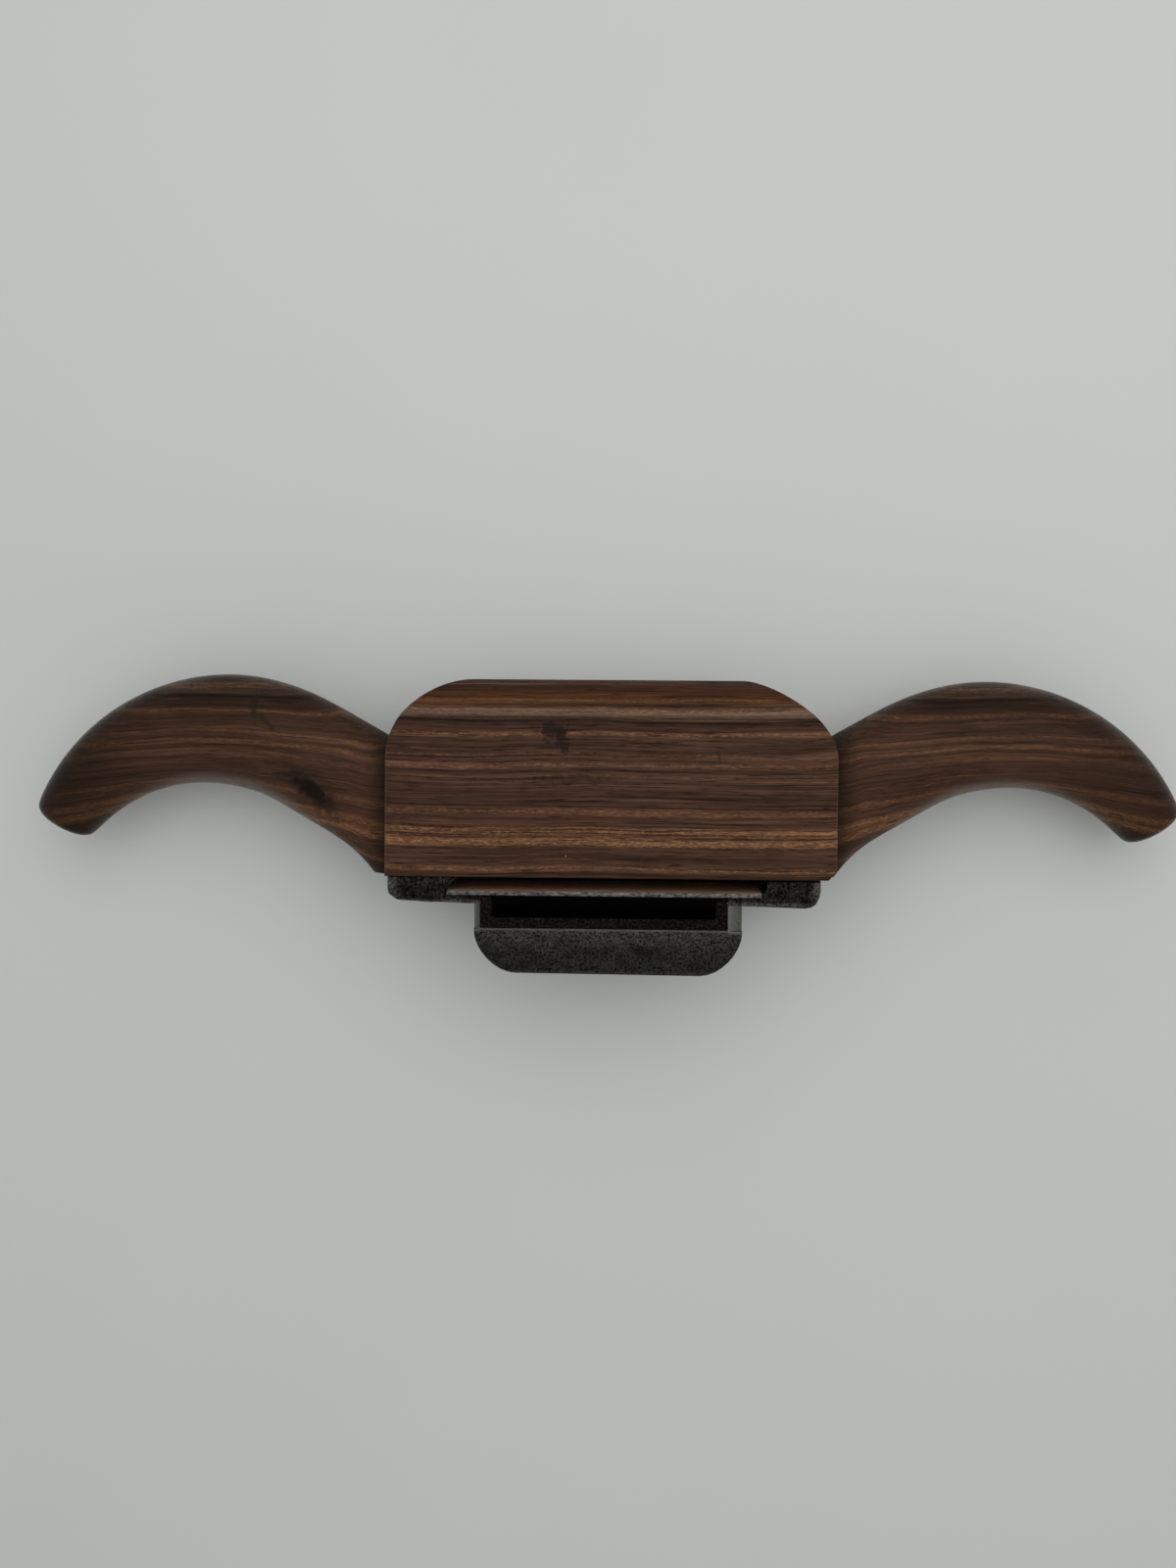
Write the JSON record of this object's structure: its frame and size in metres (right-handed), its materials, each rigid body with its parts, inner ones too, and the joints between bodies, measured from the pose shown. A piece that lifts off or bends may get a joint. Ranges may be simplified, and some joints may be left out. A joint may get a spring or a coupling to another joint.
{
  "type": "two-handled scraper shave",
  "caption": "Long wooden shave with drooping handles, a wide flat sole, and an upright scraping blade held in an iron mouth with a toe pad.",
  "frame": {"origin": "middle of the wooden sole, on its surface", "axes": "+X along the handles, +Y towards the heel, +Z out of the sole; the tool lies on its back"},
  "size_m": [0.4408, 0.1101, 0.0503],
  "materials": {
    "rosewood": "oiled and hand-polished, striped dark purple-brown and tan, worn",
    "cast_iron": "rough dark casting with polished strips and a worn pad",
    "black_japan": "satin black japanning",
    "blade_steel": "ground, with old brown patina",
    "screw_steel": "dull blued steel",
    "brass": "darkened brass, knurled"
  },
  "bodies": {
    "shave_body": {"stock": "rosewood", "mouth_casting": "cast_iron", "adjuster_stud_left": "screw_steel", "adjuster_stud_right": "screw_steel", "stud_locknut_left": "screw_steel", "stud_locknut_right": "screw_steel", "front_screw_left": "screw_steel", "front_screw_right": "screw_steel", "tang_screw_left": "screw_steel", "tang_screw_middle": "screw_steel", "tang_screw_right": "screw_steel"},
    "blade_body": {"blade": "blade_steel"},
    "left_nut": {"adjuster_nut_left": "brass"},
    "right_nut": {"adjuster_nut_right": "brass"},
    "cap_body": {"blade_cap": "black_japan", "clamp_washer_left": "brass", "clamp_washer_right": "brass"},
    "left_thumbscrew": {"clamp_screw_left": "screw_steel"},
    "right_thumbscrew": {"clamp_screw_right": "screw_steel"}
  },
  "joints": [
    {"name": "blade_slide", "type": "slide", "parent": "shave_body", "child": "blade_body", "axis": [0, -0.0576, 0.9983], "range_m": [-0.0016, 0.0008]},
    {"name": "left_nut_spin", "type": "hinge", "parent": "blade_body", "child": "left_nut", "pos_m": [-0.027, -0.02712, -0.04284], "axis": [0, -0.0576, 0.9983], "range_deg": [-720, 360]},
    {"name": "right_nut_spin", "type": "hinge", "parent": "blade_body", "child": "right_nut", "pos_m": [0.027, -0.02712, -0.04284], "axis": [0, -0.0576, 0.9983], "range_deg": [-720, 360]},
    {"name": "cap_slide", "type": "slide", "parent": "shave_body", "child": "cap_body", "axis": [0, -1, 0], "range_m": [0, 0.0016]},
    {"name": "left_thumbscrew_spin", "type": "hinge", "parent": "cap_body", "child": "left_thumbscrew", "pos_m": [-0.068, -0.0391, -0.0345], "axis": [0, -1, 0], "range_deg": [0, 720]},
    {"name": "right_thumbscrew_spin", "type": "hinge", "parent": "cap_body", "child": "right_thumbscrew", "pos_m": [0.068, -0.0391, -0.0345], "axis": [0, -1, 0], "range_deg": [0, 720]}
  ],
  "couplings": [
    {"joint": "left_nut_spin", "follows": "blade_slide", "rad_per_m": 7853.9},
    {"joint": "right_nut_spin", "follows": "blade_slide", "rad_per_m": 7853.9},
    {"joint": "left_thumbscrew_spin", "follows": "cap_slide", "rad_per_m": 7853.9},
    {"joint": "right_thumbscrew_spin", "follows": "cap_slide", "rad_per_m": 7853.9}
  ]
}
